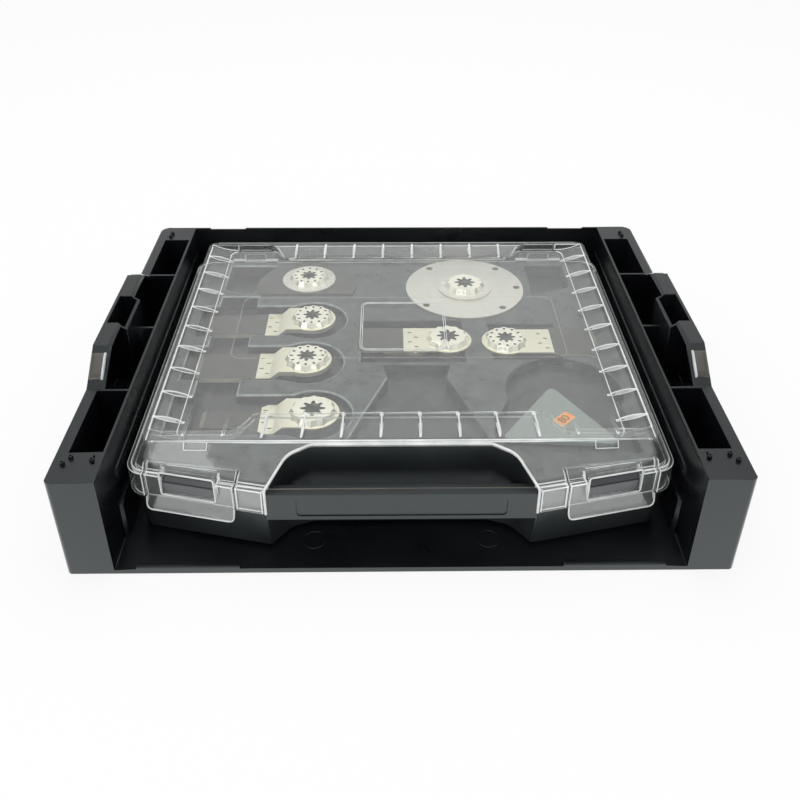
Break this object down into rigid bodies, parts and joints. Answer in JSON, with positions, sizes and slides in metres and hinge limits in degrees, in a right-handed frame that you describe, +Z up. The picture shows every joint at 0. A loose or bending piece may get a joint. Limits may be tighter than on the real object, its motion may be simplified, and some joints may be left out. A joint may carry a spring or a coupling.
{
  "type": "saw blade storage case",
  "caption": "Flat clear-lidded case of oscillating saw blades with a recessed front handle, seated in an open-fronted stacking carrier tray with raised side grips.",
  "frame": {"origin": "on the floor under the middle of the carrier tray", "axes": "+X to the right seen from the open front, +Y to the back, +Z up"},
  "size_m": [0.442, 0.357, 0.098],
  "materials": {
    "black_tray_plastic": "moulded, fine grain, satin",
    "black_latch_plastic": "moulded, satin",
    "dark_grey_case_plastic": "moulded, satin",
    "dark_grey_sheet_plastic": "formed sheet, satin",
    "clear_plastic": "clear, gloss",
    "steel_pin": "drawn",
    "bright_mount_steel": "pressed, bright",
    "bright_blade_steel": "ground",
    "grey_printed_blade": "printed, satin",
    "sanding_paper": "grit on paper"
  },
  "bodies": {
    "tray": {"carrier_tray": "black_tray_plastic", "latch_pin_left": "steel_pin", "latch_pin_right": "steel_pin"},
    "case": {"case_base": "dark_grey_case_plastic", "centre_blade": "grey_printed_blade", "centre_mount": "bright_mount_steel", "hinge_pin_left": "steel_pin", "hinge_pin_right": "steel_pin", "insert_tray": "dark_grey_sheet_plastic", "plunge_blade_one": "grey_printed_blade", "plunge_blade_three": "grey_printed_blade", "plunge_blade_two": "grey_printed_blade", "plunge_mount_one": "bright_mount_steel", "plunge_mount_three": "bright_mount_steel", "plunge_mount_two": "bright_mount_steel", "round_blade": "bright_blade_steel", "round_mount": "bright_mount_steel", "round_washer": "bright_mount_steel", "sanding_sheets_middle": "sanding_paper", "sanding_sheets_right": "sanding_paper", "segment_blade": "grey_printed_blade", "segment_mount": "bright_mount_steel", "segment_washer": "bright_mount_steel", "spare_blade_one_1": "grey_printed_blade", "spare_blade_one_2": "grey_printed_blade", "spare_blade_two_1": "grey_printed_blade", "spare_blade_two_2": "grey_printed_blade", "under_blade": "grey_printed_blade", "under_mount": "bright_mount_steel", "wide_blade": "grey_printed_blade", "wide_mount": "bright_mount_steel"},
    "lid": {"lid": "clear_plastic"},
    "lid_latch_left": {"lid_latch_left": "clear_plastic"},
    "lid_latch_right": {"lid_latch_right": "clear_plastic"},
    "stacking_latch_left": {"stacking_latch_left": "black_latch_plastic"},
    "stacking_latch_right": {"stacking_latch_right": "black_latch_plastic"}
  },
  "joints": [
    {"name": "case_slide", "type": "slide", "parent": "tray", "child": "case", "axis": [0, -1, 0], "range_m": [0, 0.3]},
    {"name": "lid_hinge", "type": "hinge", "parent": "case", "child": "lid", "pos_m": [0, 0.1544, 0.0545], "axis": [-1, 0, 0], "range_deg": [0, 90]},
    {"name": "lid_latch_right_flex", "type": "hinge", "parent": "lid", "child": "lid_latch_right", "pos_m": [0.1385, -0.1444, 0.0616], "axis": [-0.9742, -0.2256, 0], "range_deg": [0, 12], "stiffness_Nm_per_rad": 0.3},
    {"name": "lid_latch_left_flex", "type": "hinge", "parent": "lid", "child": "lid_latch_left", "pos_m": [-0.1385, -0.1444, 0.0616], "axis": [-0.9742, 0.2256, 0], "range_deg": [0, 12], "stiffness_Nm_per_rad": 0.3},
    {"name": "stacking_latch_right_pivot", "type": "hinge", "parent": "tray", "child": "stacking_latch_right", "pos_m": [0.2172, 0, 0.039], "axis": [0, -1, 0], "range_deg": [0, 20], "stiffness_Nm_per_rad": 0.1},
    {"name": "stacking_latch_left_pivot", "type": "hinge", "parent": "tray", "child": "stacking_latch_left", "pos_m": [-0.2172, 0, 0.039], "axis": [0, 1, 0], "range_deg": [0, 20], "stiffness_Nm_per_rad": 0.1}
  ]
}
